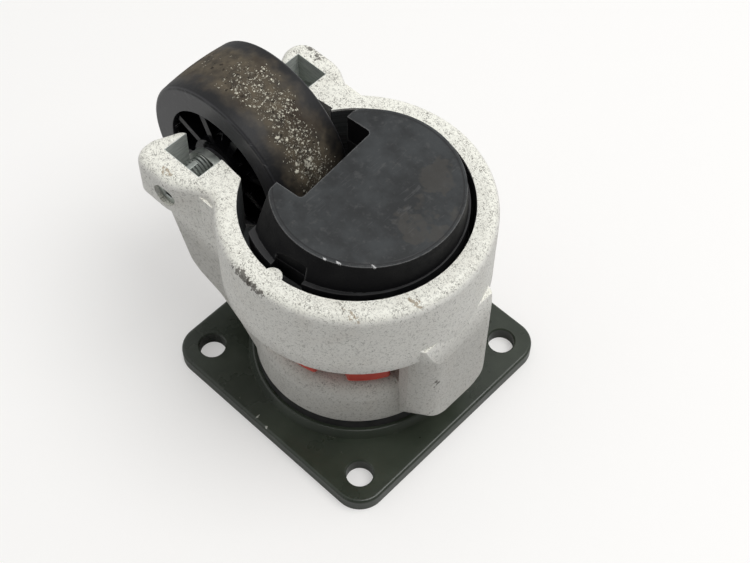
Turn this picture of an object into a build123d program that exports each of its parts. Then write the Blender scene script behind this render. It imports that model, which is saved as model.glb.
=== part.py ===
from build123d import *
import math
import os

# A levelling castor, modelled upside down: it stands on its mounting face, z = 0, with the
# swivel axis on Z, the plate's sides along X and Y and the wheel on the -X side.
# All sizes are in millimetres.

# Fits
slip_gap = 0.05        # radial gap of a shaft in a bore
seat_gap = 0.2         # between faces that turn against each other
ball_gap = 0.25        # between a ball and its groove
stop_gap = 0.5         # left where a moving piece stands at its stop

# Mounting plate
plate_side = 90.0
plate_thick = 5.2
plate_corner_r = 9.0
plate_edge_r = 1.0
bolt_inset = 10.0      # from the plate's side to the hole's centre
bolt_hole_r = 4.5
bolt_hole_bevel = 0.5
boss_step = 2.8        # the boss is wider than the neck by this
boss_height = 2.8
boss_slope = 1.6
hollow_depth = 3.0
hollow_r = 31.0
hollow_slope = 1.0
hollow_edge_r = 1.0

# Swivel: kingpin, large ball ring below the housing's web, small one above it
kingpin_r = 8.0
kingpin_head_r = 14.0
kingpin_head_thick = 2.4
neck_gap = 3.8         # open gap between the plate's boss and the neck
seal_thick = 1.8
ball_r = 2.2
ball_count = 16
ball_sink = 0.8        # how deep a ball lies in its race
race_thick = 1.6
race_seal_gap = 1.25   # between the races and the dust seal
race_land = 2.0        # flat of the race on each side of the ball
cone_circle_r = 15.2
cone_ball_r = 1.6
cone_ball_count = 12
nut_across = 24.0
nut_thick = 5.0
kingpin_stub = 1.0     # thread that stands past the nut

# Housing
neck_r = 34.3
neck_shoulder_r = 6.0
neck_edge_r = 0.8
web_thick = 4.0
web_bore_gap = 4.0
kingpin_room = 1.8     # above the kingpin's end
window_gap = 2.1       # round the adjuster
window_height = 26.0
guide_web_thick = 5.0
ring_depth = 24.9      # from the guide web up to the rim
ring_outer_r = 42.8
ring_inner_r = 35.8
ring_edge_r = 3.4
skirt_edge_r = 1.0
wheel_plane_y = 1.1    # the fork, wheel and column stand a little off the swivel's centre
fork_flare = 0.9       # how far the gap widens at the ring's inner wall
fork_flare_length = 3.5 # over which it widens there
fork_wall_over = 0.5   # the cut goes past the ring's inner wall
fork_mouth_flare = 3.5 # and on each side at the lugs' tips
fork_mouth_length = 9.0
fork_mouth_r = 8.0
arm_thick = 13.0
arm_edge_r = 2.0
arm_tip_step = 1.0     # the arm's outline, from the lug's tip down to the neck
arm_chin_in = 4.4
arm_chin_drop = 8.5
arm_back_in = 1.3      # behind the axle
arm_back_rise = 10.4   # above the housing's floor
arm_knee_in = 5.4
arm_knee_rise = 7.0
arm_belly_in = 14.8
arm_belly_rise = 3.3
arm_root_x = -24.6
arm_root_drop = 4.3    # below the housing's floor
arm_foot_x = -15.5
arm_foot_rise = 3.2    # above the neck's lower end
arm_end_x = -12.0
head_lug_nose = 6.9    # how far the lug at -Y goes on past the axle's head
tail_lug_nose = 5.2    # and the lug at +Y past the axle
lug_tip_slope = 4.0    # the tip leans back towards the wheel
head_slot_depth = 9.3  # slot in the lug at -Y, for the axle's head
head_lug_wall = 8.6    # its outer wall, tapped for the lock screw
tail_slot_depth = 9.3  # slot in the lug at +Y, for the axle's plain end
tail_lug_wall = 6.6
lug_height = 14.2
lug_corner_r = 6.0
lug_length = 17.0
lug_root_step = 4.0    # how far the lug's side has come in where it meets the ring
column_stand = 1.5     # its front stands out from the ring
column_half = 16.2
column_root_half = 13.0
column_edge_r = 6.5
column_root_in = 6.0   # how far it reaches into the neck
column_chin_r = 3.0
column_cheek_r = 1.0
column_top_r = 10.0    # where its front leans back into the ring
column_top_drop = 2.0  # how far below the window's top that begins
column_top_reach = 1.5 # and how far above the guide web it ends
column_cheek = 8.0     # length of the column's rounded flanks
column_foot_r = 15.5
column_foot_z = 19.0
column_foot_slant = 1.0
nub_r = 3.0
nub_turn = -88.0       # degrees round Z
nub_sink = 0.6         # centre of the nub behind the ring's inner wall

# Wheel and axle
wheel_r = 31.1
wheel_width = 27.6
wheel_edge_r = 1.4
wheel_crown = 0.7
wheel_recess_r = 20.9
wheel_recess_draft = 0.8
wheel_web_thick = 7.0
wheel_hub_r = 11.0
rib_count = 8
rib_thick = 2.6
rib_inset = 1.4
rib_turn = 22.5
bush_wall = 2.2
bush_stand = 1.6       # the bush stands out past the hub on each side
wheel_inset = 16.7     # from the swivel's axis to the tread
wheel_gap = 0.17       # between the wheel and the adjuster's rim
axle_r = 6.0
axle_head_r = 7.5
axle_flat = 3.3        # height of the flat over the axle's centre line
slot_gap = 0.1         # between the axle and its slots
well_gap = 3.0         # round the wheel
lock_screw_r = 4.0
lock_screw_recess = 1.5
lock_tip_length = 3.0
lock_tip_step = 0.3
lock_socket_across = 4.0
lock_socket_depth = 4.0
washer_r = 9.5
axle_washer_thick = 2.7

# Adjuster
washer_thick = 1.5
thrust_outer_r = 26.0
thrust_inner_r = 9.5
adjuster_r = 31.2
adjuster_lift = 1.0    # rim above the hub's lower face
adjuster_height = 11.0
adjuster_web_thick = 5.0
adjuster_rim_width = 6.5
adjuster_hub_r = 14.0
lobe_count = 8
lobe_turn = -39.0
lobe_cut_r = 5.6
lobe_edge_r = 1.2
nut_insert_across = 21.0
nut_insert_inset = 1.5

# Foot
stem_r = 8.0
stem_start_gap = 1.2   # stem's lower end above the thrust washer
foot_turn = 4.5        # degrees round Z, within the play of the key
foot_hub_r = 13.0
foot_hub_height = 16.0
foot_hub_top_depth = 2.0
holder_gap = 1.9       # between the holder and the ring's inner wall
holder_thick = 7.0
holder_rib_count = 6
holder_rib_thick = 2.4
holder_rib_end = 6.0   # from the disc's edge
holder_rib_fan = 200.0 # degrees over which the ribs are spread
key_play = 2.6         # round the nub, on each side
key_gap = 2.7          # and behind it
pad_height = 10.7
pad_taper = 3.4        # from its foot to its top
pad_shift = 4.2
pad_foot_step = 1.5    # from the holder's edge to the pad's foot
pad_foot_shift = 1.1
pad_corner_r = 3.0
notch_gap = 9.1        # in front of the wheel
notch_side_gap = 2.2
notch_depth = 9.4      # from the foot's flat side
notch_corner_r = 1.5
foot_screw_r = 3.0
foot_screw_head_r = 6.0
foot_screw_length = 20.0
guide_bush_wall = 2.4
guide_flange = 2.6
guide_flange_thick = 1.5

# Levels along Z, from the mounting face up
boss_top = plate_thick + boss_height
plate_race_top = boss_top + race_thick
ball_z = plate_race_top + ball_r - ball_sink
housing_race_z = ball_z + ball_r - ball_sink
web_z = housing_race_z + race_thick
web_top = web_z + web_thick
neck_bottom = boss_top + neck_gap
inner_race_top = web_top + race_thick
cone_ball_z = inner_race_top + cone_ball_r - ball_sink
cone_z = cone_ball_z + cone_ball_r - ball_sink
cone_top = cone_z + race_thick
nut_top = cone_top + nut_thick
kingpin_top = nut_top + kingpin_stub
floor_z = kingpin_top + kingpin_room
washer_top = floor_z + washer_thick
adjuster_z = washer_top + seat_gap
rim_z = adjuster_z + adjuster_lift
window_top = floor_z + window_height
hub_top = window_top - stop_gap
guide_top = window_top + guide_web_thick
flange_top = guide_top + guide_flange_thick
rim_top = guide_top + ring_depth
foot_hub_z = flange_top + stop_gap
holder_z = foot_hub_z + foot_hub_height
pad_z = holder_z + holder_thick
pad_top = pad_z + pad_height

# Radii and half widths that follow
bolt_spacing = plate_side - 2 * bolt_inset
boss_r = neck_r + boss_step
column_front_x = ring_outer_r + column_stand
window_r = adjuster_r + window_gap
holder_r = ring_inner_r - holder_gap
pad_foot_r = holder_r - pad_foot_step
pad_r = pad_foot_r - pad_taper
key_half = nub_r + key_play
key_depth = holder_r - ring_inner_r - nub_sink + nub_r + key_gap
race_outer_r = neck_r - slip_gap - seal_thick - race_seal_gap
ball_circle_r = race_outer_r - ball_r - race_land
race_inner_r = ball_circle_r - ball_r - race_land
race_room_r = race_outer_r + ball_gap
cone_outer_r = cone_circle_r + cone_ball_r + race_land
cone_inner_r = cone_circle_r - cone_ball_r - race_land / 2
well_r = cone_outer_r + stop_gap
web_bore_r = kingpin_r + web_bore_gap
arm_inner = wheel_width / 2 + bush_stand + axle_washer_thick + 2 * seat_gap
axle_x = -wheel_inset - wheel_r
wheel_rise = math.sqrt((wheel_r + wheel_gap)**2 - (adjuster_r + axle_x)**2)
axle_z = rim_z + adjuster_height + round(wheel_rise, 2)
head_lug_tip = axle_head_r + head_lug_nose - axle_x
tail_lug_tip = axle_r + tail_lug_nose - axle_x
notch_x = axle_x + wheel_r + notch_gap
notch_half = wheel_width / 2 + notch_side_gap
foot_flat_x = notch_x - notch_depth
arm_outer = arm_inner + arm_thick
lug_root_x = -math.sqrt(ring_outer_r**2 - arm_outer**2) - 1
lug_run = lug_root_x + tail_lug_tip - lug_length
lug_bend_r = min(2 * lug_corner_r, lug_run)
lug_root_r = min(lug_corner_r, lug_run / 2)
head_slot_end = arm_inner + head_slot_depth
tail_slot_end = arm_inner + tail_slot_depth
head_lug_outer = head_slot_end + head_lug_wall
tail_lug_outer = tail_slot_end + tail_lug_wall
lock_screw_z = axle_z + axle_flat + lock_screw_r + seat_gap
wheel_half = wheel_width / 2
hub_bore_r = axle_r + slip_gap + bush_wall
bush_half = wheel_half + bush_stand
guide_bore_r = stem_r + slip_gap + guide_bush_wall


at_wheel = Pos(0, wheel_plane_y, 0)


def rod(radius, low, high):
    return Pos(0, 0, (low + high) / 2) * Cylinder(radius, high - low)


def ring(inner, outer, low, high):
    return rod(outer, low, high) - rod(inner, low - 1, high + 1)


def cross_rod(radius, start, end):
    """A rod along Y, on the line of the axle."""
    body = Cylinder(radius, abs(end - start), rotation=(90, 0, 0))
    return Pos(axle_x, (start + end) / 2, axle_z) * body


def outline(*corners):
    """A closed face through corners (x, y, radius)."""
    points = [(x, y) for x, y, _ in corners]
    radii = [r for _, _, r in corners]
    return make_face(FilletPolyline(*points, radius=radii, close=True))


def turned(*corners):
    """A solid of revolution about Z, from corners (r, z, radius)."""
    return revolve(Plane.XZ * outline(*corners), Axis.Z)


def plan(face, low, high):
    return extrude(Pos(0, 0, low) * face, high - low)


def hexagon(across, low, high):
    return plan(RegularPolygon(across / math.sqrt(3), 6), low, high)


def both_sides(shape):
    """A piece and its mirror image across the plane y = 0."""
    return shape + mirror(shape, Plane.XZ)


def mounting_plate():
    slab = plan(RectangleRounded(plate_side, plate_side, plate_corner_r), 0, plate_thick)
    slab = fillet(slab.faces().sort_by(Axis.Z)[-1].edges(), plate_edge_r)
    boss = turned(
        (0, 0, 0),
        (boss_r, 0, 0),
        (boss_r, plate_thick, 0),
        (boss_r - boss_slope, boss_top, boss_slope / 2),
        (0, boss_top, 0),
    )
    hollow = turned(
        (0, -1, 0),
        (hollow_r + hollow_slope, -1, 0),
        (hollow_r, hollow_depth, hollow_edge_r),
        (0, hollow_depth, 0),
    )
    holes = Sketch() + GridLocations(bolt_spacing, bolt_spacing, 2, 2) * Circle(bolt_hole_r)
    bevels = Part()
    for spot in GridLocations(bolt_spacing, bolt_spacing, 2, 2):
        bevels += spot * Pos(0, 0, plate_thick - bolt_hole_bevel / 2) * Cone(
            bolt_hole_r, bolt_hole_r + bolt_hole_bevel, bolt_hole_bevel)
    body = slab + boss - hollow - plan(holes, -1, boss_top + 1) - bevels
    return body - rod(kingpin_r + slip_gap, -1, boss_top + 1)


def kingpin():
    head = turned(
        (0, hollow_depth - kingpin_head_thick, 0),
        (kingpin_head_r, hollow_depth - kingpin_head_thick, kingpin_head_thick / 3),
        (kingpin_head_r, hollow_depth, 0),
        (0, hollow_depth, 0),
    )
    shank = rod(kingpin_r, hollow_depth, kingpin_top)
    return head + chamfer(shank.faces().sort_by(Axis.Z)[-1].edges(), kingpin_stub)


def race(circle_r, small_r, inner, outer, low, balls_z):
    """A race ring, its groove cut by the path of the balls."""
    path = Pos(0, 0, balls_z) * Torus(circle_r, small_r + ball_gap)
    return ring(inner, outer, low, low + race_thick) - path


def ball_set(circle_r, radius, count, z):
    balls = [spot * Sphere(radius) for spot in PolarLocations(circle_r, count)]
    return Pos(0, 0, z) * Compound(balls)


def dust_seal():
    return turned(
        (neck_r - slip_gap - seal_thick, boss_top, 0),
        (neck_r - slip_gap, boss_top, 0),
        (neck_r - seal_thick / 2, neck_bottom - ball_gap, 0),
        (neck_r - slip_gap - seal_thick, neck_bottom - ball_gap, 0),
    )


def kingpin_nut():
    body = hexagon(nut_across, cone_top, nut_top)
    blank = turned(
        (0, cone_top, 0),
        (nut_across / math.sqrt(3), cone_top, 0),
        (nut_across / math.sqrt(3), nut_top - 1, 0),
        (nut_across / 2, nut_top, 0),
        (0, nut_top, 0),
    )
    return (body & blank) - rod(kingpin_r + slip_gap, cone_top - 1, nut_top + 1)


def neck():
    return turned(
        (0, neck_bottom, 0),
        (neck_r, neck_bottom, neck_edge_r),
        (neck_r, floor_z, neck_shoulder_r),
        (0, floor_z, 0),
    )


def lug_corners(side, tip, outer):
    """One lug's corners, from its tip round the outside to the ring, on the side -1 or 1 of y = 0."""
    return [
        (-tip + lug_tip_slope, side * arm_inner, 0),
        (-tip, side * (arm_inner + outer) / 2, lug_corner_r),
        (-tip, side * outer, lug_corner_r),
        (-tip + lug_length, side * outer, lug_bend_r),
        (lug_root_x, side * (arm_outer - lug_root_step), 0),
    ]


def head_slab():
    """The rim's plan with both lugs, its upper edge rounded all round."""
    far_side = lug_corners(1, tail_lug_tip, tail_lug_outer)
    tip = Pos(0, wheel_plane_y) * outline(
        *lug_corners(-1, head_lug_tip, head_lug_outer), *reversed(far_side))
    shape = Circle(ring_outer_r) + tip
    meeting = [
        v for v in shape.vertices()
        if abs(math.hypot(v.X, v.Y) - ring_outer_r) < 0.01 and abs(v.Y) > arm_inner
    ]
    shape = fillet(meeting, lug_root_r)
    slab = plan(shape, rim_top - lug_height, rim_top)
    return fillet(slab.faces().sort_by(Axis.Z)[-1].outer_wire().edges(), ring_edge_r)


def arms():
    """The two side plates that carry the wheel, from the lugs down to the neck."""
    profile = outline(
        (-tail_lug_tip + arm_tip_step, rim_top - lug_height, 0),
        (-tail_lug_tip + arm_chin_in, rim_top - lug_height - arm_chin_drop, 2 * arm_edge_r),
        (axle_x + arm_back_in, floor_z + arm_back_rise, 3 * arm_edge_r),
        (axle_x + arm_knee_in, floor_z + arm_knee_rise, 1.5 * arm_edge_r),
        (axle_x + arm_belly_in, floor_z + arm_belly_rise, 2 * arm_edge_r),
        (arm_root_x, floor_z - arm_root_drop, 2 * arm_edge_r),
        (arm_foot_x, neck_bottom + arm_foot_rise, 0),
        (arm_end_x, neck_bottom + arm_foot_rise, 0),
        (arm_end_x, rim_top - ring_edge_r, 0),
        (-tail_lug_tip + arm_tip_step, rim_top - ring_edge_r, 0),
    )
    arm = Pos(0, arm_inner, 0) * extrude(Plane.XZ * profile, arm_thick, dir=(0, 1, 0))
    outer = [
        e for e in arm.faces().sort_by(Axis.Y)[-1].edges()
        if e.center().X < arm_foot_x - arm_tip_step / 2
    ]
    low = [e for e in outer if e.center().Z < rim_top - lug_height]
    return at_wheel * both_sides(fillet(low, arm_edge_r))


def column():
    """The post between neck and ring, opposite the wheel, with a round chin that slants to the neck."""
    front = outline(
        (-column_half, rim_top, 0),
        (-column_half, column_foot_z, column_foot_r),
        (column_half, column_foot_z, column_foot_r),
        (column_half, rim_top, 0),
    )
    depth = column_front_x - neck_r + column_root_in
    face = Plane(origin=(column_front_x, 0, 0), x_dir=(0, 1, 0), z_dir=(1, 0, 0)) * front
    across = extrude(
        face, depth * math.hypot(1, column_foot_slant), dir=(-1, 0, -column_foot_slant))
    side = outline(
        (neck_r - column_root_in, neck_bottom, 0),
        (neck_r, neck_bottom, 0),
        (column_front_x, column_foot_z, column_chin_r),
        (column_front_x, window_top - column_top_drop, column_top_r),
        (ring_outer_r - skirt_edge_r, guide_top + column_top_reach, 0),
        (neck_r - column_root_in, guide_top + column_top_reach, 0),
    )
    top = outline(
        (neck_r - column_root_in, -column_root_half, 0),
        (column_front_x - column_cheek, -column_half, column_cheek_r),
        (column_front_x, -column_half, column_edge_r),
        (column_front_x, column_half, column_edge_r),
        (column_front_x - column_cheek, column_half, column_cheek_r),
        (neck_r - column_root_in, column_root_half, 0),
    )
    along = extrude(Plane.XZ * side, 2 * column_half, both=True)
    return at_wheel * (across & along & plan(top, 0, rim_top))


def axle_slot(half, start, end):
    """An open slot in a lug, from start to end along Y, with a round floor under the axle."""
    rise = rim_top + 1 - axle_z
    mouth = Pos(axle_x, (start + end) / 2, axle_z + rise / 2) * Box(2 * half, abs(end - start), rise)
    return cross_rod(half, start, end) + mouth


def fork_cut():
    """The room for the wheel: the gap between the arms, and a well round the tread."""
    mouth_x = -ring_outer_r + fork_flare_length
    wall_x = -math.sqrt(ring_inner_r**2 - arm_inner**2) + fork_wall_over
    tip_x = -head_lug_tip - 1
    gap = outline(
        (tip_x, -arm_inner - fork_mouth_flare, 0),
        (tip_x + fork_mouth_length, -arm_inner, fork_mouth_r),
        (mouth_x, -arm_inner, 0),
        (wall_x, -arm_inner - fork_flare, 0),
        (wall_x, arm_inner + fork_flare, 0),
        (mouth_x, arm_inner, 0),
        (tip_x + fork_mouth_length, arm_inner, fork_mouth_r),
        (tip_x, arm_inner + fork_mouth_flare, 0),
    )
    return at_wheel * (plan(gap, floor_z, rim_top + 1) + cross_rod(wheel_r + well_gap, -arm_inner, arm_inner))


def housing():
    skirt = turned(
        (0, window_top, 0),
        (ring_outer_r, window_top, skirt_edge_r),
        (ring_outer_r, rim_top - lug_height + 1, 0),
        (0, rim_top - lug_height + 1, 0),
    )
    body = neck() + skirt + head_slab() + arms() + column()
    body -= rod(window_r, floor_z, window_top)
    body -= rod(ring_inner_r, guide_top, rim_top + 1)
    body -= fork_cut()
    body -= at_wheel * axle_slot(axle_head_r + slot_gap, -head_slot_end, 1 - arm_inner)
    body -= at_wheel * axle_slot(axle_r + slot_gap, arm_inner - 1, tail_slot_end)
    screw_hole = cross_rod(lock_screw_r + slip_gap, -head_lug_outer - 1, 1 - head_slot_end)
    body -= at_wheel * Pos(0, 0, lock_screw_z - axle_z) * screw_hole
    body -= rod(race_room_r, neck_bottom - 1, web_z)
    body -= rod(web_bore_r, web_z - 1, web_top + 1)
    body -= rod(well_r, web_top, floor_z + 1)
    body -= rod(guide_bore_r + slip_gap, window_top - 1, guide_top + 1)
    nub = Pos(ring_inner_r + nub_sink, 0, 0) * rod(nub_r, guide_top, rim_top - 0.2)
    return body + Rot(0, 0, nub_turn) * nub


def axle():
    """The wheel's pin: a head with a flat for the lock screw, and a plain end."""
    shaft = cross_rod(axle_r, -arm_inner - seat_gap, tail_slot_end - seat_gap)
    head = cross_rod(axle_head_r, -head_slot_end + seat_gap, -arm_inner - seat_gap)
    flat = Pos(axle_x, -head_slot_end, axle_z + axle_flat + axle_head_r / 2) * Box(
        2 * axle_head_r + 1, 2 * head_slot_depth, axle_head_r)
    return shaft + (head - flat)


def lock_screw():
    """The grub screw that crosses the slot over the flat of the axle's head."""
    tip_end = -arm_inner - 1
    tip_start = tip_end - lock_tip_length
    outer = -head_lug_outer + lock_screw_recess
    thread = cross_rod(lock_screw_r, outer, tip_start)
    tip = cross_rod(lock_screw_r - lock_tip_step, tip_start, tip_end)
    socket_face = Plane.XZ * RegularPolygon(lock_socket_across / math.sqrt(3), 6)
    socket = Pos(axle_x, outer + lock_socket_depth, axle_z) * extrude(
        socket_face, lock_socket_depth + 1, dir=(0, -1, 0))
    return Pos(0, 0, lock_screw_z - axle_z) * (thread + tip - socket)


def spacer_washers():
    start = bush_half + seat_gap
    end = arm_inner - seat_gap
    washer = cross_rod(washer_r, start, end) - cross_rod(axle_r + slip_gap, start - 1, end + 1)
    return both_sides(washer)


def wheel_profile():
    """Half section of the wheel, x along its axis and y its radius; the tread is a shallow arc."""
    face_r = wheel_r - wheel_crown
    web = wheel_web_thick / 2
    tread = ThreePointArc((-wheel_half + wheel_edge_r, face_r), (0, wheel_r), (wheel_half - wheel_edge_r, face_r))
    side = [
        (wheel_half - wheel_edge_r, face_r),
        (wheel_half, face_r - wheel_edge_r),
        (wheel_half, wheel_recess_r + wheel_recess_draft),
        (web, wheel_recess_r),
        (web, wheel_hub_r + wheel_recess_draft),
        (wheel_half, wheel_hub_r),
        (wheel_half, hub_bore_r + slip_gap),
    ]
    corner = RadiusArc(side[0], side[1], wheel_edge_r)
    right = Polyline(*side[1:])
    left = mirror(right, Plane.YZ)
    bottom = Line(side[-1], (-side[-1][0], side[-1][1]))
    return make_face([tread, corner, mirror(corner, Plane.YZ), right, left, bottom])


def wheel():
    """The wheel, its section turned about the axle, with ribs in the recess of each side."""
    disc = revolve(wheel_profile(), Axis.X)
    long = wheel_recess_r - hub_bore_r - 1
    rib = Pos(0, hub_bore_r + 1 + long / 2, 0) * Box(wheel_width - 2 * rib_inset, long, rib_thick)
    for k in range(rib_count):
        disc += Rot(rib_turn + 360 * k / rib_count, 0, 0) * rib
    return Pos(axle_x, 0, axle_z) * Rot(0, 0, 90) * disc


def wheel_bush():
    return cross_rod(hub_bore_r, -bush_half, bush_half) - cross_rod(axle_r + slip_gap, -bush_half - 1, bush_half + 1)


def adjuster():
    """The thumbwheel: a lobed rim on a web, with a hub round the hexagonal nut."""
    rim_top_z = rim_z + adjuster_height
    web_low = rim_z + (adjuster_height - adjuster_web_thick) / 2
    cut_r = adjuster_r + lobe_cut_r / 4
    shape = Circle(adjuster_r)
    for k in range(lobe_count):
        turn = lobe_turn + 360 * (k + 0.5) / lobe_count
        shape -= Rot(0, 0, turn) * Pos(cut_r, 0) * Circle(lobe_cut_r)
    shape = fillet(shape.vertices(), lobe_edge_r)
    rim = plan(shape, rim_z, rim_top_z)
    dish_r = adjuster_r - lobe_cut_r - adjuster_rim_width / 2
    dish = ring(adjuster_hub_r, dish_r, web_low + adjuster_web_thick, rim_top_z + 1)
    dish += ring(adjuster_hub_r, dish_r, rim_z - 1, web_low)
    hub = turned(
        (0, adjuster_z, 0),
        (adjuster_hub_r, adjuster_z, 0),
        (adjuster_hub_r, hub_top, 1),
        (0, hub_top, 0),
    )
    body = rim - dish + hub
    pocket = hexagon(nut_insert_across + 2 * slip_gap, adjuster_z - 1, hub_top - nut_insert_inset + slip_gap)
    return body - pocket - rod(stem_r + 2 * slip_gap, adjuster_z - 1, hub_top + 1)


def adjuster_nut():
    low = adjuster_z + slip_gap
    high = hub_top - nut_insert_inset
    return hexagon(nut_insert_across, low, high) - rod(stem_r + slip_gap, low - 1, high + 1)


def guide_bush():
    inner = stem_r + slip_gap
    return turned(
        (inner, window_top, 0),
        (guide_bore_r, window_top, 0),
        (guide_bore_r, guide_top, 0),
        (guide_bore_r + guide_flange, guide_top, 0),
        (guide_bore_r + guide_flange, flange_top, 0),
        (inner, flange_top, 0),
    )


def foot_stem():
    low = washer_top + stem_start_gap
    high = holder_z - foot_hub_top_depth
    body = chamfer(rod(stem_r, low, high).faces().sort_by(Axis.Z)[0].edges(), 1)
    return body - rod(foot_screw_r + slip_gap, pad_z - foot_screw_length - 1, high + 1)


def foot_cut(low, high):
    """What the flat side and the wheel's notch take from the foot."""
    far = -2 * ring_outer_r
    shape = outline(
        (far, -ring_outer_r, 0),
        (foot_flat_x, -ring_outer_r, 0),
        (foot_flat_x, -notch_half, 0),
        (notch_x, -notch_half, notch_corner_r),
        (notch_x, notch_half, notch_corner_r),
        (foot_flat_x, notch_half, 0),
        (foot_flat_x, ring_outer_r, 0),
        (far, ring_outer_r, 0),
    )
    return plan(shape, low, high)


def key_groove(low, high):
    """The groove that slides over the nub in the ring."""
    box = Pos(holder_r, 0, (low + high) / 2) * Box(2 * key_depth, 2 * key_half, high - low)
    return Rot(0, 0, nub_turn) * box


def foot_holder():
    """The disc under the pad, with its hub over the stem and ribs below."""
    disc = rod(holder_r, holder_z, pad_z) - foot_cut(holder_z - 1, pad_z + 1)
    disc -= key_groove(holder_z - 1, pad_z + 1)
    hub = rod(foot_hub_r, foot_hub_z, holder_z)
    ribs = Part()
    reach = holder_r - holder_rib_end - foot_hub_r
    rib_face = outline(
        (foot_hub_r - 1, holder_z - foot_hub_height / 2, 0),
        (foot_hub_r + 1, holder_z - foot_hub_height / 2, 0),
        (foot_hub_r + reach, holder_z - 1, 0),
        (foot_hub_r + reach, holder_z + 1, 0),
        (foot_hub_r - 1, holder_z + 1, 0),
    )
    rib = extrude(Plane.XZ * rib_face, holder_rib_thick / 2, both=True)
    for k in range(holder_rib_count):
        turn = holder_rib_fan * ((k + 0.5) / holder_rib_count - 0.5)
        ribs += Rot(0, 0, turn) * rib
    body = disc + hub + ribs
    body -= rod(stem_r + slip_gap, foot_hub_z - 1, holder_z - foot_hub_top_depth)
    body -= rod(foot_screw_r + slip_gap, foot_hub_z, pad_z + 1)
    head = foot_screw_head_r - foot_screw_r
    body -= Pos(0, 0, pad_z - head / 2) * Cone(foot_screw_r + slip_gap, foot_screw_head_r + slip_gap, head)
    return Rot(0, 0, foot_turn) * body


def foot_screw():
    head = foot_screw_head_r - foot_screw_r
    cone = Pos(0, 0, pad_z - head / 2 - slip_gap) * Cone(foot_screw_r, foot_screw_head_r, head)
    return cone + rod(foot_screw_r, pad_z - foot_screw_length, pad_z - head)


def foot_pad():
    """The rubber pad: a leaning cone from the holder's disc to a smaller, offset tread."""
    low = Pos(pad_foot_shift, 0, pad_z) * Circle(pad_foot_r)
    high = Pos(pad_shift, 0, pad_top) * Circle(pad_r)
    body = loft([low, high], ruled=True) - foot_cut(pad_z - 1, pad_top + 1)
    groove = Rot(0, 0, nub_turn) * Pos(holder_r, 0, (pad_z + pad_top) / 2) * Box(
        2 * key_depth, 2 * key_half, pad_height + 2)
    body -= groove
    corners = [
        e for e in body.edges()
        if abs(e.center().X - foot_flat_x) < 0.5 and abs(e.center().Y) > notch_half + 4
        and e.length < 1.5 * pad_height and abs(e.tangent_at(0.5).Z) > 0.7
    ]
    body = fillet(corners, pad_corner_r)
    return Rot(0, 0, foot_turn) * body


def main():
    nodes = {
        "mounting_plate": mounting_plate(),
        "kingpin": kingpin(),
        "plate_race": race(ball_circle_r, ball_r, race_inner_r, race_outer_r, boss_top, ball_z),
        "race_balls": ball_set(ball_circle_r, ball_r, ball_count, ball_z),
        "housing_race": race(ball_circle_r, ball_r, race_inner_r, race_outer_r, housing_race_z, ball_z),
        "dust_seal": dust_seal(),
        "inner_race": race(cone_circle_r, cone_ball_r, cone_inner_r, cone_outer_r, web_top, cone_ball_z),
        "inner_balls": ball_set(cone_circle_r, cone_ball_r, cone_ball_count, cone_ball_z),
        "cone_washer": race(cone_circle_r, cone_ball_r, kingpin_r + slip_gap, cone_outer_r, cone_z, cone_ball_z),
        "kingpin_nut": kingpin_nut(),
        "housing": housing(),
        "thrust_washer": ring(thrust_inner_r, thrust_outer_r, floor_z, washer_top),
        "axle": at_wheel * axle(),
        "lock_screw": at_wheel * lock_screw(),
        "spacer_washers": at_wheel * spacer_washers(),
        "wheel": at_wheel * wheel(),
        "wheel_bush": at_wheel * wheel_bush(),
        "adjuster": adjuster(),
        "adjuster_nut": adjuster_nut(),
        "guide_bush": guide_bush(),
        "foot_stem": foot_stem(),
        "foot_holder": foot_holder(),
        "foot_screw": foot_screw(),
        "foot_pad": foot_pad(),
    }
    os.makedirs("parts", exist_ok=True)
    for name, shape in nodes.items():
        export_step(shape, f"parts/{name}.step")


main()
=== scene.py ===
import bpy
import bmesh
import math
from mathutils import Matrix, Vector


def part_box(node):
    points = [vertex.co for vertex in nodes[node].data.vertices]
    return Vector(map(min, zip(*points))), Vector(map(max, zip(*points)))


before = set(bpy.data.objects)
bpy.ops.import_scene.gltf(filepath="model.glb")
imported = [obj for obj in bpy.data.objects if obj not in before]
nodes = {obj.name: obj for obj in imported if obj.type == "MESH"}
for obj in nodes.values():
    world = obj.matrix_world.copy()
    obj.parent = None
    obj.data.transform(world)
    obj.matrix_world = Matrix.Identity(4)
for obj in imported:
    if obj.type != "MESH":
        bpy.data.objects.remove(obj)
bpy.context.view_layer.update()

mm = 0.001
print("castor loaded:", len(nodes), "pieces")


# Small helpers for building node trees

def inMetres(point):
    return [v * mm for v in point]


def plug(tree, node, key, value):
    socket = node.inputs[key]
    if isinstance(value, bpy.types.NodeSocket):
        tree.links.new(value, socket)
    else:
        socket.default_value = value


def addNode(tree, kind, settings=None, sockets=None):
    node = tree.nodes.new(kind)
    for key, value in (settings or {}).items():
        setattr(node, key, value)
    for key, value in (sockets or {}).items():
        plug(tree, node, key, value)
    return node


def calc(tree, operation, *values):
    node = addNode(tree, "ShaderNodeMath", {"operation": operation}, dict(enumerate(values)))
    return node.outputs[0]


def times(tree, first, second):
    return calc(tree, "MULTIPLY", first, second)


def plus(tree, first, second):
    return calc(tree, "ADD", first, second)


def minus(tree, first, second):
    return calc(tree, "SUBTRACT", first, second)


def larger(tree, first, second):
    return calc(tree, "MAXIMUM", first, second)


def apart(tree, value, middle):  # how far a value is from a middle
    return calc(tree, "ABSOLUTE", minus(tree, value, middle))


def vectorCalc(tree, operation, *values, scale=None):
    sockets = dict(enumerate(values))
    node = addNode(tree, "ShaderNodeVectorMath", {"operation": operation}, sockets)
    if scale is not None:
        plug(tree, node, "Scale", scale)
    return node.outputs["Value" if operation in ("DOT_PRODUCT", "LENGTH") else "Vector"]


def shifted(tree, place, offset):  # the same place in another part of a pattern
    return vectorCalc(tree, "ADD", place, offset)


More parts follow.
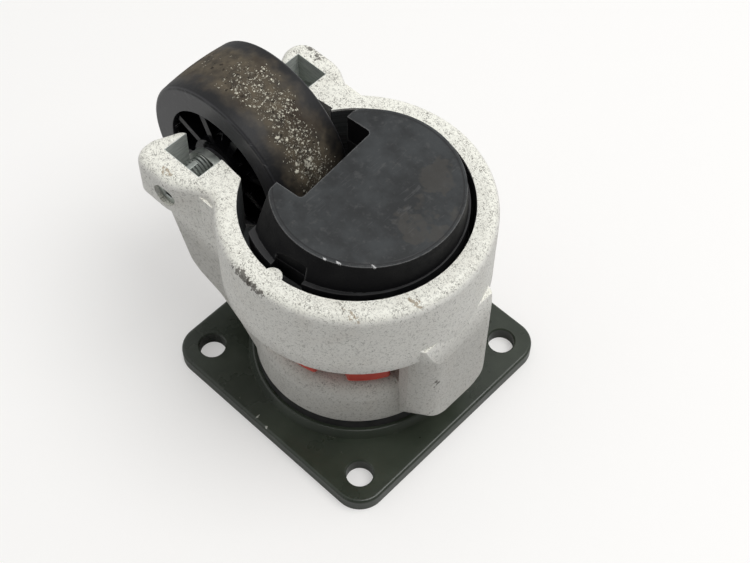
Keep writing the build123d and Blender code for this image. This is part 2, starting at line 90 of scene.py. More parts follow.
def component(tree, vector, axis):
    return addNode(tree, "ShaderNodeSeparateXYZ", None, {"Vector": vector}).outputs[axis]


def ease(tree, value, low, high, toLow=0.0, toHigh=1.0):
    node = addNode(tree, "ShaderNodeMapRange", {"interpolation_type": "SMOOTHSTEP"}, {
        "Value": value, "From Min": low, "From Max": high, "To Min": toLow, "To Max": toHigh})
    return node.outputs["Result"]


def fade(tree, value, low, high):  # 1 below low, 0 above high
    return ease(tree, value, low, high, 1.0, 0.0)


def mixColour(tree, factor, first, second):
    sockets = {0: factor, 6: first, 7: second}
    return addNode(tree, "ShaderNodeMix", {"data_type": "RGBA"}, sockets).outputs[2]


def tinted(tree, base, mask, strength, colour):  # a colour laid over a base where a mask is
    return mixColour(tree, times(tree, mask, strength), base, colour)


def noise(tree, place, scale, detail=2.0, rough=0.5, output="Fac"):
    node = addNode(tree, "ShaderNodeTexNoise", None, {
        "Vector": place, "Scale": scale, "Detail": detail, "Roughness": rough})
    return node.outputs[output]


def cells(tree, place, scale):  # distance to the nearest cell's centre, and its random values
    node = addNode(tree, "ShaderNodeTexVoronoi", None, {"Vector": place, "Scale": scale})
    parts = addNode(tree, "ShaderNodeSeparateColor", None, {"Color": node.outputs["Color"]})
    return node.outputs["Distance"], parts.outputs


def newGroup(name, output, **inputs):  # every effect takes a place first
    group = bpy.data.node_groups.new(name, "ShaderNodeTree")
    for label, value in {"Place": (0, 0, 0), **inputs}.items():
        kind = "Vector" if isinstance(value, tuple) else "Float"
        socket = group.interface.new_socket(
            name=label, in_out="INPUT", socket_type="NodeSocket" + kind)
        socket.default_value = value
    group.interface.new_socket(name=output, in_out="OUTPUT", socket_type="NodeSocketFloat")
    return group, group.nodes.new("NodeGroupInput").outputs, group.nodes.new("NodeGroupOutput")


def effect(tree, group, **values):
    return addNode(tree, "ShaderNodeGroup", {"node_tree": group}, values).outputs[0]


# Effects that several finishes share

def fleckGroup():  # short curved strokes scattered through a coat
    group, given, out = newGroup(
        "scattered strokes", "Mask", Scale=1300.0, Density=0.5, Width=0.07)
    core, blur, gateScale, gateOffset = 0.45, 0.06, 0.8, (0.7, 0.2, 0.4)
    closed, opening = 0.66, -0.32  # the gate opens as the density rises
    ridge = apart(group, noise(group, given["Place"], given["Scale"], 1.0), 0.5)
    stroke = fade(group, ridge, times(group, given["Width"], core), given["Width"])
    gate = noise(group, shifted(group, given["Place"], gateOffset),
                 times(group, given["Scale"], gateScale), 1.0)
    low = calc(group, "MULTIPLY_ADD", given["Density"], opening, closed)
    keep = ease(group, gate, low, plus(group, low, blur))
    plug(group, out, "Mask", times(group, stroke, keep))
    return group


def gritGroup():  # small ragged crumbs of mixed size
    group, given, out = newGroup("ragged crumbs", "Mask", Scale=700.0, Density=0.4, Size=0.5)
    wanderScale, wanderReach = 1500.0, 0.0016
    spread, least, core = 0.8, 0.2, 0.6
    wander = noise(group, given["Place"], wanderScale, output="Color")
    shift = vectorCalc(group, "SUBTRACT", wander, (0.5, 0.5, 0.5))
    shift = vectorCalc(group, "SCALE", shift, scale=wanderReach)
    distance, parts = cells(group, shifted(group, given["Place"], shift), given["Scale"])
    chosen = calc(group, "LESS_THAN", parts["Red"], given["Density"])
    size = calc(group, "MULTIPLY_ADD", parts["Green"], spread, least)
    reach = times(group, given["Size"], size)
    inside = fade(group, distance, times(group, reach, core), reach)
    plug(group, out, "Mask", times(group, chosen, inside))
    return group


def edgeGroup():  # along convex edges: rubbed wear, and a painted edge glint on the powder coat
    group, given, out = newGroup("edge wear", "Mask", Width=0.0008, Scale=300.0, Amount=0.5)
    bend, breaks = (0.02, 0.16), (0.62, 0.78)
    soft = addNode(group, "ShaderNodeBevel", {"samples": 4}, {"Radius": given["Width"]})
    sharp = addNode(group, "ShaderNodeNewGeometry").outputs["Normal"]
    alike = vectorCalc(group, "DOT_PRODUCT", soft.outputs["Normal"], sharp)
    edge = ease(group, minus(group, 1.0, alike), *bend)
    broken = noise(group, given["Place"], given["Scale"], 4.0, 0.65)
    keep = ease(group, plus(group, broken, times(group, given["Amount"], 0.5)), *breaks)
    plug(group, out, "Mask", times(group, edge, keep))
    return group


def toneGroup():  # slow unevenness of a surface, between 0 and 1
    group, given, out = newGroup("uneven tone", "Tone", Scale=60.0, Contrast=1.0)
    wide = minus(group, noise(group, given["Place"], given["Scale"], 4.0, 0.6), 0.5)
    value = calc(group, "MULTIPLY_ADD", wide, given["Contrast"], 0.5)
    plug(group, out, "Tone", addNode(group, "ShaderNodeClamp", None, {"Value": value}).outputs[0])
    return group


def spotGroup():  # a ragged patch round one place, stretched by its reach along each axis
    group, given, out = newGroup(
        "ragged spot", "Mask", Centre=(0, 0, 0), Reach=(0.003, 0.003, 0.003),
        Scale=600.0, Raggedness=0.8)
    raggedReach, rim = 3.0, (0.6, 1.0)
    offset = vectorCalc(group, "SUBTRACT", given["Place"], given["Centre"])
    away = vectorCalc(group, "LENGTH", vectorCalc(group, "DIVIDE", offset, given["Reach"]))
    rag = minus(group, noise(group, given["Place"], given["Scale"], 3.0, 0.6), 0.5)
    rag = times(group, rag, given["Raggedness"])
    away = calc(group, "MULTIPLY_ADD", rag, raggedReach, away)
    plug(group, out, "Mask", fade(group, away, *rim))
    return group


def scratchGroup():  # fine straight scratches across one direction
    group, given, out = newGroup(
        "fine scratches", "Mask", Stretch=(40.0, 900.0, 40.0), Density=0.3)
    thin, gateScale, gateLow, gateHigh = (0.004, 0.02), 160.0, 0.8, 0.86
    stretched = vectorCalc(group, "MULTIPLY", given["Place"], given["Stretch"])
    line = fade(group, apart(group, noise(group, stretched, 1.0), 0.5), *thin)
    gate = ease(group, noise(group, given["Place"], gateScale),
                minus(group, gateLow, given["Density"]), minus(group, gateHigh, given["Density"]))
    plug(group, out, "Mask", times(group, line, gate))
    return group


def boxGroup():  # 1 inside a box
    group, given, out = newGroup(
        "inside a box", "Mask", Centre=(0, 0, 0), Half=(0.01, 0.01, 0.01))
    away = vectorCalc(group, "SUBTRACT", given["Place"], given["Centre"])
    room = vectorCalc(group, "SUBTRACT", given["Half"], vectorCalc(group, "ABSOLUTE", away))
    room = addNode(group, "ShaderNodeSeparateXYZ", None, {"Vector": room}).outputs
    least = calc(group, "MINIMUM", calc(group, "MINIMUM", room["X"], room["Y"]), room["Z"])
    plug(group, out, "Mask", calc(group, "GREATER_THAN", least, 0.0))
    return group


def axisGroup():  # distance from a line through a place
    group, given, out = newGroup(
        "distance from a line", "Distance", Origin=(0, 0, 0), Along=(0, 0, 1))
    local = vectorCalc(group, "SUBTRACT", given["Place"], given["Origin"])
    height = vectorCalc(group, "DOT_PRODUCT", local, given["Along"])
    along = vectorCalc(group, "SCALE", given["Along"], scale=height)
    flat = vectorCalc(group, "SUBTRACT", local, along)
    plug(group, out, "Distance", vectorCalc(group, "LENGTH", flat))
    return group


flecks, grit, edgeWearAndGlint, unevenTone = fleckGroup(), gritGroup(), edgeGroup(), toneGroup()
raggedSpot, fineScratches = spotGroup(), scratchGroup()
insideBox, fromLine = boxGroup(), axisGroup()
print("shared effects built")


# Finishes

def newFinish(name, rough=0.5, metal=0.0, specular=0.5):
    material = bpy.data.materials.new(name)
    material.use_nodes = True
    tree = material.node_tree
    shader = tree.nodes["Principled BSDF"]
    shader.inputs["Roughness"].default_value = rough
    shader.inputs["Metallic"].default_value = metal
    shader.inputs["Specular IOR Level"].default_value = specular
    place = tree.nodes.new("ShaderNodeTexCoord").outputs["Object"]
    return material, tree, shader, place


def setBump(tree, shader, height, distance, strength=1.0):
    bump = addNode(tree, "ShaderNodeBump", None, {
        "Strength": strength, "Distance": distance, "Height": height})
    tree.links.new(bump.outputs["Normal"], shader.inputs["Normal"])


def upward(tree, low=0.35, high=0.85):  # 1 on faces that look up
    normal = addNode(tree, "ShaderNodeNewGeometry").outputs["Normal"]
    return ease(tree, component(tree, normal, "Z"), low, high)


def marked(tree, place, base, marks, colour, strength, scale, ragged):  # ragged marks on a colour
    for centre, reach in marks:
        mark = effect(tree, raggedSpot, Place=place, Centre=inMetres(centre),
                      Reach=inMetres(reach), Scale=scale, Raggedness=ragged)
        base = tinted(tree, base, mark, strength, colour)
    return base


def rubbed(tree, place, base, wearAndGlint, colour):  # a paler colour along convex edges: rubbed wear, on the foot rubber partly a painted edge highlight
    wornAndGlint = effect(tree, edgeWearAndGlint, Place=place, Width=wearAndGlint["width"], Scale=wearAndGlint["scale"],
                  Amount=wearAndGlint["amount"])
    return tinted(tree, base, wornAndGlint, wearAndGlint["strength"], colour)


def turnedLines(tree, place, stretch):  # fine lines left by a lathe or a mill
    return noise(tree, vectorCalc(tree, "MULTIPLY", place, stretch), 1.0, 2.0, 0.6)


coat = {
    # top, side and low are lit and shaded copies of one coat: painted light on faces that look up,
    # painted shade lower down the sides; glint is a painted edge highlight
    "top": (0.93, 0.925, 0.84, 1), "side": (0.80, 0.79, 0.745, 1), "low": (0.57, 0.56, 0.525, 1),
    "stain": (0.52, 0.47, 0.40, 1), "fleck": (0.13, 0.12, 0.105, 1), "glint": (0.95, 0.95, 0.93, 1),
    "scuff": (0.055, 0.045, 0.035, 1), "rub": (0.30, 0.22, 0.13, 1),
    "bare": (0.50, 0.53, 0.50, 1), "milled": (0.68, 0.71, 0.67, 1),
    "bore": (0.055, 0.06, 0.06, 1), "boreLine": (0.10, 0.105, 0.105, 1),
    "topDensity": 0.60, "sideDensity": 0.45, "topDepth": 0.85, "sideDepth": 0.6,
    "largeFleck": {"Scale": 1250.0, "Width": 0.055}, "smallFleck": {"Scale": 2100.0, "Width": 0.06},
    "smallOffset": (0.3, 0.1, 0.2), "smallDepth": 0.7,
    "topLevels": (50 * mm, 58 * mm), "flankShadeLevels": (54 * mm, 64 * mm),
    "glintLevels": (58 * mm, 64 * mm),
    "wearAndGlint": {"Width": 0.0010, "Scale": 500.0, "Amount": 0.3},
    "millStretch": (260.0, 260.0, 1400.0), "boreStretch": (30.0, 30.0, 2200.0),
    "boreRadius": 36.1, "boreFloor": 57.0, "boreRim": 85.6,
    "pocketMetal": 0.2, "boreMetal": 0.3, "bump": 0.00014, "bumpStrength": 0.55,
    "pockets": [  # machined slots for the axle
        ((-47.8, -22.0, 76.0), (7.8, 4.85, 13.0)), ((-47.8, 24.2, 76.0), (6.3, 4.85, 13.0))],
    "scuffs": [  # dark scuffs, with their reach along each axis
        ((-6.0, -41.9, 85.6), (4.6, 1.3, 1.8)), ((0.5, -42.3, 85.2), (3.4, 1.1, 1.6)),
        ((-52.6, 33.6, 86.2), (2.2, 1.2, 1.5)), ((-48.8, 32.6, 86.2), (1.6, 1.4, 1.5)),
        ((44.3, -10.6, 44.0), (0.8, 0.7, 2.6))],
    "rubs": [
        ((38.0, -14.6, 86.4), (3.0, 0.8, 1.0)), ((27.0, -30.0, 85.6), (2.6, 0.8, 1.0)),
        ((-49.0, -32.0, 86.2), (2.2, 1.0, 1.0))],
}


def powderCoat():
    material, tree, shader, place = newFinish("speckled powder coat", rough=0.5, specular=0.4)
    height = component(tree, place, "Z")
    # painted light and shade: faces that look up, high on the casting, get the lighter top colour;
    # the other faces get the side colour, darkening to the low colour further down under the ring
    top = times(tree, upward(tree), ease(tree, height, *coat["topLevels"], 0.3, 1.0))
    tone = effect(tree, unevenTone, Place=place, Scale=110.0, Contrast=1.3)
    shadedFlank = mixColour(tree, ease(tree, height, *coat["flankShadeLevels"]), coat["low"], coat["side"])
    base = mixColour(tree, top, shadedFlank, coat["top"])
    base = mixColour(tree, ease(tree, tone, 0.45, 0.95, 0.0, 0.25), base, coat["stain"])

    density = ease(tree, top, 0.0, 1.0, coat["sideDensity"], coat["topDensity"])
    large = effect(tree, flecks, Place=place, Density=density, **coat["largeFleck"])
    small = effect(tree, flecks, Place=shifted(tree, place, coat["smallOffset"]),
                   Density=density, **coat["smallFleck"])
    speck = larger(tree, large, times(tree, small, coat["smallDepth"]))
    depth = times(tree, speck, ease(tree, top, 0.0, 1.0, coat["sideDepth"], coat["topDepth"]))
    depth = times(tree, depth, ease(tree, noise(tree, place, 420.0), 0.3, 0.7, 0.45, 1.0))
    base = mixColour(tree, depth, base, coat["fleck"])

    # painted highlight: near-white glints along the convex edges of the upper casting
    wornAndGlint = effect(tree, edgeWearAndGlint, Place=place, **coat["wearAndGlint"])
    wornAndGlint = times(tree, wornAndGlint, ease(tree, height, *coat["glintLevels"], 0.15, 0.7))
    base = mixColour(tree, wornAndGlint, base, coat["glint"])
    base = marked(tree, place, base, coat["scuffs"], coat["scuff"], 0.8, 800.0, 2.2)
    base = marked(tree, place, base, coat["rubs"], coat["rub"], 0.7, 1100.0, 2.0)

    pocket = 0.0
    for centre, half in coat["pockets"]:
        inside = effect(tree, insideBox, Place=place, Centre=inMetres(centre), Half=inMetres(half))
        pocket = larger(tree, pocket, inside)
    milled = turnedLines(tree, place, coat["millStretch"])
    bare = mixColour(tree, ease(tree, milled, 0.3, 0.7), coat["bare"], coat["milled"])
    base = mixColour(tree, pocket, base, bare)

    bore = calc(tree, "LESS_THAN", effect(tree, fromLine, Place=place), coat["boreRadius"] * mm)
    aboveFloor = calc(tree, "GREATER_THAN", height, coat["boreFloor"] * mm)
    belowRim = calc(tree, "LESS_THAN", height, coat["boreRim"] * mm)
    bore = times(tree, bore, times(tree, aboveFloor, belowRim))
    bore = times(tree, bore, minus(tree, 1.0, pocket))
    lines = turnedLines(tree, place, coat["boreStretch"])
    turned = mixColour(tree, ease(tree, lines, 0.35, 0.65), coat["bore"], coat["boreLine"])
    base = mixColour(tree, bore, base, turned)

    plug(tree, shader, "Base Color", base)
    metal = larger(tree, times(tree, pocket, coat["pocketMetal"]),
                   times(tree, bore, coat["boreMetal"]))
    plug(tree, shader, "Metallic", metal)
    plug(tree, shader, "Roughness", ease(tree, speck, 0.0, 1.0, 0.44, 0.68))
    coated = minus(tree, 1.0, larger(tree, pocket, bore))
    grain = plus(tree, noise(tree, place, 1500.0, 3.0, 0.6), times(tree, speck, -0.4))
    cut = plus(tree, times(tree, pocket, milled), times(tree, bore, lines))
    relief = plus(tree, times(tree, grain, coated), cut)
    setBump(tree, shader, relief, coat["bump"], coat["bumpStrength"])
    return material


paint = {
    "colour": (0.020, 0.027, 0.017, 1), "pale": (0.034, 0.044, 0.029, 1),
    "wornAndGlint": (0.085, 0.09, 0.07, 1), "dust": (0.16, 0.155, 0.13, 1), "chip": (0.50, 0.50, 0.45, 1),
    "crumbs": {"Scale": 900.0, "Density": 0.02, "Size": 0.35}, "dustStrength": 0.5,
    "wearAndGlint": {"width": 0.0009, "scale": 260.0, "amount": 0.3, "strength": 0.7},
    "chips": [
        ((-3.9, -43.6, 5.2), (0.35, 0.9, 1.0)), ((1.0, -44.2, 5.0), (0.5, 0.6, 1.0)),
        ((-39.5, 12.0, 5.2), (0.4, 0.7, 1.0))],
}


def platePaint():
    material, tree, shader, place = newFinish("dark semi-gloss paint", rough=0.3, specular=0.55)
    tone = effect(tree, unevenTone, Place=place, Scale=45.0, Contrast=1.4)
    base = mixColour(tree, ease(tree, tone, 0.3, 0.8), paint["colour"], paint["pale"])
    dust = effect(tree, grit, Place=place, **paint["crumbs"])
    base = tinted(tree, base, dust, paint["dustStrength"], paint["dust"])
    base = rubbed(tree, place, base, paint["wearAndGlint"], paint["wornAndGlint"])
    base = marked(tree, place, base, paint["chips"], paint["chip"], 1.0, 1800.0, 0.8)
    plug(tree, shader, "Base Color", base)
    plug(tree, shader, "Roughness", ease(tree, tone, 0.2, 0.8, 0.24, 0.36))
    setBump(tree, shader, noise(tree, place, 420.0, 3.0, 0.55), 0.00012, 0.2)
    return material


wheelLow, wheelHigh = [Vector(v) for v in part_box("wheel")]
wheelCentre = (wheelLow + wheelHigh) / 2
wheelRadius = (wheelHigh.z - wheelLow.z) / 2
tread = {
    # side is lighter than nylon: painted sheen on the wheel's sides; recess and crease are painted
    # shade
    "nylon": (0.011, 0.011, 0.012, 1), "side": (0.042, 0.042, 0.046, 1),
    "recess": (0.004, 0.004, 0.005, 1), "dust": (0.125, 0.102, 0.070, 1),
    "brown": (0.034, 0.024, 0.016, 1), "grit": (0.80, 0.77, 0.64, 1),
    "pit": (0.018, 0.014, 0.010, 1), "shadedCrease": (0.006, 0.006, 0.007, 1),
    "scratch": (0.35, 0.35, 0.36, 1),
    "thick": (0.94, 0.0, 0.35),  # towards the side where the grit lies thickest
    "rim": (wheelRadius - 1.2 * mm, wheelRadius - 0.7 * mm),  # where the side turns into tread
    "bandHalf": 12.5 * mm, "bandCore": 0.35, "gritHalf": 8.5 * mm, "gritCore": 0.2,
    "recessRadius": 21.9 * mm, "recessBlur": 0.5 * mm,
    "creaseRadius": 29.6 * mm, "creaseWidth": (0.15 * mm, 0.4 * mm),
    "wanderScale": 120.0, "wanderReach": 0.014,
    "pits": {"Scale": 800.0, "Size": 0.55},
    "coarse": {"Scale": 1150.0, "Size": 0.60}, "coarseOffset": (0.2, 0.4, 0.1),
    "clumps": {"Scale": 520.0, "Size": 0.6}, "clumpOffset": (0.6, 0.3, 0.7),
    "fine": {"Scale": 1700.0, "Size": 0.55}, "fineOffset": (0.5, 0.1, 0.3), "fineShare": 0.9,
    "scratches": {"Stretch": (60.0, 60.0, 900.0), "Density": 0.22},
}


def wheelNylon():
    material, tree, shader, place = newFinish(
        "black nylon, dusty tread", rough=0.42, specular=0.5)
    local = vectorCalc(tree, "SUBTRACT", place, tuple(wheelCentre))
    radius = effect(tree, fromLine, Place=place, Origin=tuple(wheelCentre), Along=(0.0, 1.0, 0.0))
    onTread = ease(tree, radius, *tread["rim"])
    facing = vectorCalc(tree, "DOT_PRODUCT", local, tread["thick"])
    facing = calc(tree, "DIVIDE", facing, wheelRadius)
    thick = ease(tree, facing, -0.5, 0.85)

    wander = minus(tree, noise(tree, place, tread["wanderScale"], 3.0, 0.6), 0.5)
    wander = times(tree, wander, tread["wanderReach"])
    offCentre = calc(tree, "ABSOLUTE", plus(tree, component(tree, local, "Y"), wander))
    bandHalf, gritHalf = tread["bandHalf"], tread["gritHalf"]
    band = times(tree, onTread, fade(tree, offCentre, bandHalf * tread["bandCore"], bandHalf))
    core = times(tree, onTread, fade(tree, offCentre, gritHalf * tread["gritCore"], gritHalf))

    tone = effect(tree, unevenTone, Place=place, Scale=260.0, Contrast=2.0)
    # painted sheen: the sides get a lighter colour than the tread
    base = mixColour(tree, onTread, tread["side"], tread["nylon"])
    # painted shade: the recess in the wheel's side is darkened towards black
    recess = tread["recessRadius"]
    shadedRecess = fade(tree, radius, recess - tread["recessBlur"], recess)
    base = mixColour(tree, shadedRecess, base, tread["recess"])
    # painted shadow: a dark line where the tread's rounded edge meets the side
    shadedCrease = fade(tree, apart(tree, radius, tread["creaseRadius"]), *tread["creaseWidth"])
    uneven = ease(tree, noise(tree, place, 260.0), 0.35, 0.55, 0.3, 0.9)
    base = tinted(tree, base, shadedCrease, uneven, tread["shadedCrease"])
    base = tinted(tree, base, band, ease(tree, tone, 0.1, 0.9, 0.35, 0.9), tread["dust"])
    patches = ease(tree, noise(tree, place, 90.0, 3.0, 0.6), 0.5, 0.68)
    base = tinted(tree, base, times(tree, patches, band), 0.8, tread["brown"])

    pitDensity = times(tree, core, ease(tree, thick, 0.0, 1.0, 0.15, 0.6))
    pits = effect(tree, grit, Place=place, Density=pitDensity, **tread["pits"])
    base = tinted(tree, base, pits, 0.8, tread["pit"])
    amount = times(tree, core, ease(tree, thick, 0.3, 1.0, 0.05, 0.80))
    coarse = effect(tree, grit, Place=shifted(tree, place, tread["coarseOffset"]),
                    Density=amount, **tread["coarse"])
    clumpDensity = times(tree, core, ease(tree, facing, 0.8, 1.0, 0.0, 0.6))
    clumps = effect(tree, grit, Place=shifted(tree, place, tread["clumpOffset"]),
                    Density=clumpDensity, **tread["clumps"])
    fine = effect(tree, grit, Place=shifted(tree, place, tread["fineOffset"]),
                  Density=times(tree, amount, tread["fineShare"]), **tread["fine"])
    crumbs = larger(tree, larger(tree, coarse, fine), clumps)
    shown = ease(tree, noise(tree, place, 600.0), 0.3, 0.7, 0.4, 0.95)
    base = tinted(tree, base, crumbs, shown, tread["grit"])

    scratches = effect(tree, fineScratches, Place=place, **tread["scratches"])
    scratches = times(tree, scratches, minus(tree, 1.0, onTread))
    base = tinted(tree, base, scratches, 0.3, tread["scratch"])
    plug(tree, shader, "Base Color", base)
    dull = larger(tree, times(tree, band, 0.8), times(tree, pits, 0.9))
    rough = larger(tree, ease(tree, dull, 0.0, 1.0, 0.36, 0.85), times(tree, onTread, 0.5))
    plug(tree, shader, "Roughness", minus(tree, rough, times(tree, shadedRecess, 0.2)))
    shine = minus(tree, 0.5, times(tree, shadedRecess, 0.35))
    plug(tree, shader, "Specular IOR Level", minus(tree, shine, times(tree, onTread, 0.22)))
    height = minus(tree, times(tree, crumbs, 0.7), pits)
    height = plus(tree, height, times(tree, noise(tree, place, 700.0, 3.0, 0.6), 0.3))
    setBump(tree, shader, height, 0.0003, 0.8)
    return material


rubber = {
    # flank and crease are painted shade on the pad's side wall and lip; nick glints are painted
    # highlights
    "black": (0.012, 0.0135, 0.0145, 1), "pale": (0.036, 0.040, 0.042, 1),
    "bloom": (0.075, 0.076, 0.075, 1), "shadedFlank": (0.004, 0.004, 0.005, 1),
    "wornAndGlint": (0.16, 0.16, 0.16, 1), "stain": (0.055, 0.049, 0.040, 1),
    "scratch": (0.12, 0.12, 0.12, 1), "shadedCrease": (0.012, 0.012, 0.013, 1),
    "nickGlint": (0.75, 0.75, 0.75, 1),
    "centre": (4.2, 0.33, 97.3), "lipRadius": 27.9, "lipWidth": (0.1 * mm, 0.35 * mm),
    "scratches": {"Stretch": (520.0, 40.0, 40.0), "Density": 0.22},
    "wearAndGlint": {"width": 0.0007, "scale": 240.0, "amount": 0.6, "strength": 0.8},
    "bump": 0.00014, "bumpStrength": 0.55, "creaseDepth": 1.5,
    "nickGlints": [
        ((17.2, -25.2, 97.3), (1.2, 0.35, 0.5)), ((25.4, -19.2, 97.3), (1.3, 0.35, 0.5)),
        ((13.4, -26.9, 97.3), (0.6, 0.3, 0.5))],
    "stains": [((24.0, 2.0, 97.2), (9.0, 6.5, 1.0)), ((14.0, 16.0, 97.2), (6.0, 5.0, 1.0))],
}


def footRubber():
    material, tree, shader, place = newFinish("foot rubber", rough=0.58, specular=0.45)
    flat = upward(tree, 0.5, 0.9)
    tone = effect(tree, unevenTone, Place=place, Scale=95.0, Contrast=2.0)
    fine = effect(tree, unevenTone, Place=place, Scale=520.0, Contrast=1.8)
    base = mixColour(tree, ease(tree, tone, 0.2, 0.85), rubber["black"], rubber["pale"])
    base = mixColour(tree, ease(tree, fine, 0.55, 0.95, 0.0, 0.4), base, rubber["bloom"])
    base = marked(tree, place, base, rubber["stains"], rubber["stain"], 0.45, 120.0, 1.6)
    scratched = effect(tree, fineScratches, Place=place, **rubber["scratches"])
    base = tinted(tree, base, scratched, 0.2, rubber["scratch"])
    # painted shade: faces that don't look up, the pad's side wall, get a near-black colour
    base = mixColour(tree, flat, rubber["shadedFlank"], base)

    # painted shade: a thin dark crease just inside the pad's top edge, also pressed in by the bump
    radius = effect(tree, fromLine, Place=place, Origin=inMetres(rubber["centre"]))
    away = apart(tree, radius, rubber["lipRadius"] * mm)
    shadedCrease = times(tree, fade(tree, away, *rubber["lipWidth"]), flat)
    base = tinted(tree, base, shadedCrease, 0.75, rubber["shadedCrease"])
    # pale rubbed top edge of the pad, partly a painted edge highlight
    base = rubbed(tree, place, base, rubber["wearAndGlint"], rubber["wornAndGlint"])
    # painted highlights: small white glints on nicks in the pad's front lip
    base = marked(tree, place, base, rubber["nickGlints"], rubber["nickGlint"], 0.7, 2600.0, 1.4)

    plug(tree, shader, "Base Color", base)
    plug(tree, shader, "Roughness", ease(tree, tone, 0.2, 0.8, 0.5, 0.66))
    plug(tree, shader, "Specular IOR Level", ease(tree, flat, 0.0, 1.0, 0.12, 0.42))
    waves = times(tree, noise(tree, place, 120.0, 2.0), 1.5)
    height = plus(tree, noise(tree, place, 900.0, 3.0, 0.6), waves)
    height = minus(tree, height, times(tree, shadedCrease, rubber["creaseDepth"]))
    setBump(tree, shader, height, rubber["bump"], rubber["bumpStrength"])
    return material


steelWear = {"width": 0.0005, "scale": 500.0, "amount": 0.6, "strength": 0.7}
steel = {
    "dark": (0.33, 0.36, 0.34, 1), "pale": (0.50, 0.53, 0.49, 1), "wornAndGlint": (0.85, 0.85, 0.82, 1),
    "threads": 1600.0,  # half turns a metre
    "threadRoom": (0.1, 0.1, -0.1), "grain": 0.12,
}


def zincSteel():
    material, tree, shader, place = newFinish("zinc plated steel", rough=0.4, metal=0.85)
    tone = effect(tree, unevenTone, Place=place, Scale=260.0, Contrast=1.6)
    base = mixColour(tree, ease(tree, tone, 0.2, 0.8), steel["dark"], steel["pale"])
    plug(tree, shader, "Base Color", rubbed(tree, place, base, steelWear, steel["wornAndGlint"]))
    plug(tree, shader, "Roughness", ease(tree, tone, 0.2, 0.8, 0.32, 0.48))
    screwLow, screwHigh = [Vector(v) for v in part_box("lock_screw")]
    middle = (screwLow + screwHigh) / 2
    half = (screwHigh - screwLow) / 2 + Vector(steel["threadRoom"]) * mm
    onScrew = effect(tree, insideBox, Place=place, Centre=tuple(middle), Half=tuple(half))
    along = times(tree, component(tree, place, "Y"), steel["threads"])
    thread = calc(tree, "PINGPONG", along, 1.0)
    grain = times(tree, noise(tree, place, 1200.0, 3.0, 0.6), steel["grain"])
    setBump(tree, shader, plus(tree, grain, times(tree, thread, onScrew)), 0.0005, 0.9)
    return material


def plainFinish(name, colour, second, rough, metal=0.0, wearAndGlint=None):
    material, tree, shader, place = newFinish(name, rough=rough, metal=metal)
    tone = effect(tree, unevenTone, Place=place, Scale=200.0, Contrast=1.5)
    base = mixColour(tree, ease(tree, tone, 0.25, 0.8), colour, second)
    if wearAndGlint:
        base = rubbed(tree, place, base, steelWear, wearAndGlint)
    plug(tree, shader, "Base Color", base)
    plug(tree, shader, "Roughness", ease(tree, tone, 0.2, 0.8, rough - 0.07, rough + 0.08))
    setBump(tree, shader, noise(tree, place, 1200.0, 3.0, 0.6), 0.0001, 0.25)
    return material


finishes = {
    "plate_paint": platePaint(),
    "powder_coat": powderCoat(),
    "wheel_nylon": wheelNylon(),
    "foot_rubber": footRubber(),
    "zinc_steel": zincSteel(),
    "race_steel": plainFinish(
        "hardened race steel", (0.38, 0.38, 0.38, 1), (0.5, 0.5, 0.5, 1), 0.28, 1.0),
    "holder_plastic": plainFinish(
        "holder plastic", (0.007, 0.007, 0.008, 1), (0.013, 0.013, 0.014, 1), 0.48,
        wearAndGlint=(0.06, 0.06, 0.06, 1)),
    "adjuster_plastic": plainFinish(
        "red adjuster plastic", (0.42, 0.03, 0.014, 1), (0.55, 0.045, 0.02, 1), 0.4,
        wearAndGlint=(0.85, 0.25, 0.18, 1)),
    "seal_rubber": plainFinish(
        "seal rubber", (0.012, 0.012, 0.012, 1), (0.025, 0.025, 0.025, 1), 0.55),
    "bush_plastic": plainFinish(
        "bush plastic", (0.02, 0.02, 0.022, 1), (0.035, 0.035, 0.04, 1), 0.45),
}

pieceFinish = {
    "mounting_plate": "plate_paint", "kingpin": "zinc_steel", "plate_race": "race_steel",
    "race_balls": "race_steel", "housing_race": "race_steel", "dust_seal": "seal_rubber",
    "inner_race": "race_steel", "inner_balls": "race_steel", "cone_washer": "race_steel",
    "kingpin_nut": "zinc_steel", "housing": "powder_coat", "thrust_washer": "zinc_steel",
    "axle": "zinc_steel", "lock_screw": "zinc_steel", "spacer_washers": "zinc_steel",
    "wheel": "wheel_nylon", "wheel_bush": "bush_plastic", "adjuster": "adjuster_plastic",
    "adjuster_nut": "zinc_steel", "guide_bush": "bush_plastic", "foot_stem": "zinc_steel",
    "foot_holder": "holder_plastic", "foot_screw": "zinc_steel", "foot_pad": "foot_rubber",
}
for name, finish in pieceFinish.items():
    nodes[name].data.materials.clear()
    nodes[name].data.materials.append(finishes[finish])
print("finishes on", len(pieceFinish), "pieces")


# Floor, light and camera

floorLook = {
    "seen": (0.61, 0.605, 0.595, 1), "second": (0.60, 0.595, 0.585, 1),
    "bounce": (0.64, 0.64, 0.63, 1), "glow": (1.0, 0.99, 0.975, 1),
    "lift": 0.36, "half": 3.0,  # lift keeps the shadow pale
}


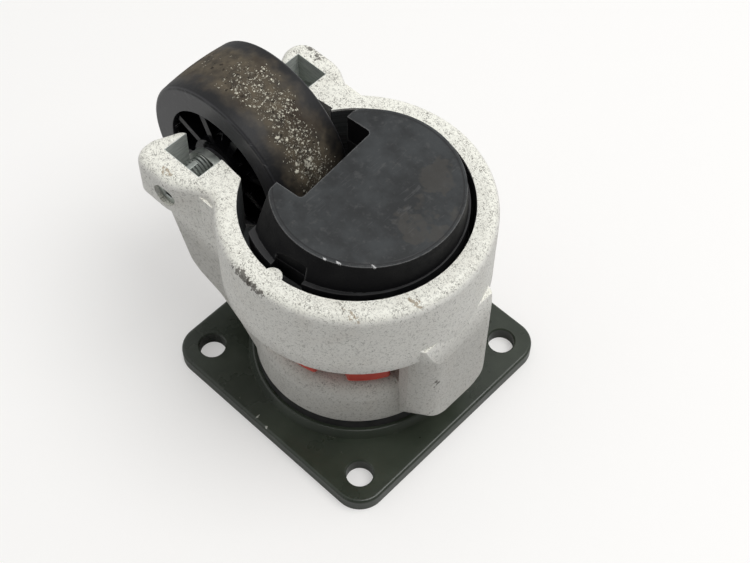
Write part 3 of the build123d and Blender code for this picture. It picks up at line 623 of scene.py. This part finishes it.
def makeFloor():
    mesh = bpy.data.meshes.new("floor")
    form = bmesh.new()
    half = floorLook["half"]
    corners = ((-half, -half), (half, -half), (half, half), (-half, half))
    form.faces.new([form.verts.new((x, y, 0)) for x, y in corners])
    form.to_mesh(mesh)
    form.free()
    floor = bpy.data.objects.new("floor", mesh)
    bpy.context.collection.objects.link(floor)
    material, tree, shader, place = newFinish("pale table", rough=0.75, specular=0.1)
    tone = effect(tree, unevenTone, Place=place, Scale=3.0, Contrast=0.5)
    seen = mixColour(tree, tone, floorLook["seen"], floorLook["second"])
    direct = tree.nodes.new("ShaderNodeLightPath").outputs["Is Camera Ray"]
    plug(tree, shader, "Base Color", mixColour(tree, direct, floorLook["bounce"], seen))
    plug(tree, shader, "Emission Color", floorLook["glow"])
    plug(tree, shader, "Emission Strength", times(tree, direct, floorLook["lift"]))
    mesh.materials.append(material)


light = {
    "key": 9.8, "keyPlace": (0.42, 0.30, 1.25), "keySize": 1.0, "world": 0.74, "backdrop": 0.97,
    "shade": 0.80, "shadeFrom": (0.88, -0.48, 0.0), "shadeRange": (-0.2, 0.9),
}


def makeLight():
    lamp = bpy.data.lights.new("softbox", "AREA")
    lamp.shape = "DISK"
    lamp.size = light["keySize"]
    lamp.energy = light["key"]
    item = bpy.data.objects.new("softbox", lamp)
    item.location = light["keyPlace"]
    item.rotation_euler = (-Vector(light["keyPlace"])).to_track_quat("-Z", "Y").to_euler()
    bpy.context.collection.objects.link(item)
    world = bpy.data.worlds.new("studio")
    world.use_nodes = True
    tree = world.node_tree
    background = tree.nodes["Background"]
    direction = tree.nodes.new("ShaderNodeTexCoord").outputs["Generated"]
    side = vectorCalc(tree, "DOT_PRODUCT", direction, light["shadeFrom"])
    dimmed = light["world"] * (1 - light["shade"])  # darker where the viewer stands
    around = ease(tree, side, *light["shadeRange"], light["world"], dimmed)
    path = tree.nodes.new("ShaderNodeLightPath").outputs
    seen = larger(tree, path["Is Camera Ray"], path["Is Transmission Ray"])
    strength = larger(tree, around, times(tree, seen, light["backdrop"]))
    plug(tree, background, "Strength", strength)
    plug(tree, background, "Color", (1.0, 1.0, 1.0, 1))
    bpy.context.scene.world = world


shot = {
    "lens": 71.13, "sensor": 36.0, "clipStart": 0.01, "azimuth": 42.80, "elevation": 56.23,
    "roll": 0.975, "place": (184.2, -190.4, 439.3),
}


def makeCamera():
    az, el, roll = (math.radians(shot[k]) for k in ("azimuth", "elevation", "roll"))
    back = Vector((math.sin(az) * math.cos(el), -math.cos(az) * math.cos(el), math.sin(el)))
    right = Vector((0, 0, 1)).cross(back).normalized()
    up = back.cross(right)
    right, up = (math.cos(roll) * right + math.sin(roll) * up,
                 math.cos(roll) * up - math.sin(roll) * right)
    data = bpy.data.cameras.new("camera")
    data.lens = shot["lens"]
    data.sensor_width = shot["sensor"]
    data.clip_start = shot["clipStart"]
    camera = bpy.data.objects.new("camera", data)
    turn = Matrix((right, up, back)).transposed().to_4x4()
    camera.matrix_world = Matrix.Translation(Vector(shot["place"]) * mm) @ turn
    bpy.context.collection.objects.link(camera)
    bpy.context.scene.camera = camera


makeFloor()
makeLight()
makeCamera()
bpy.context.scene.view_settings.view_transform = "Standard"
print("floor, light and camera placed")
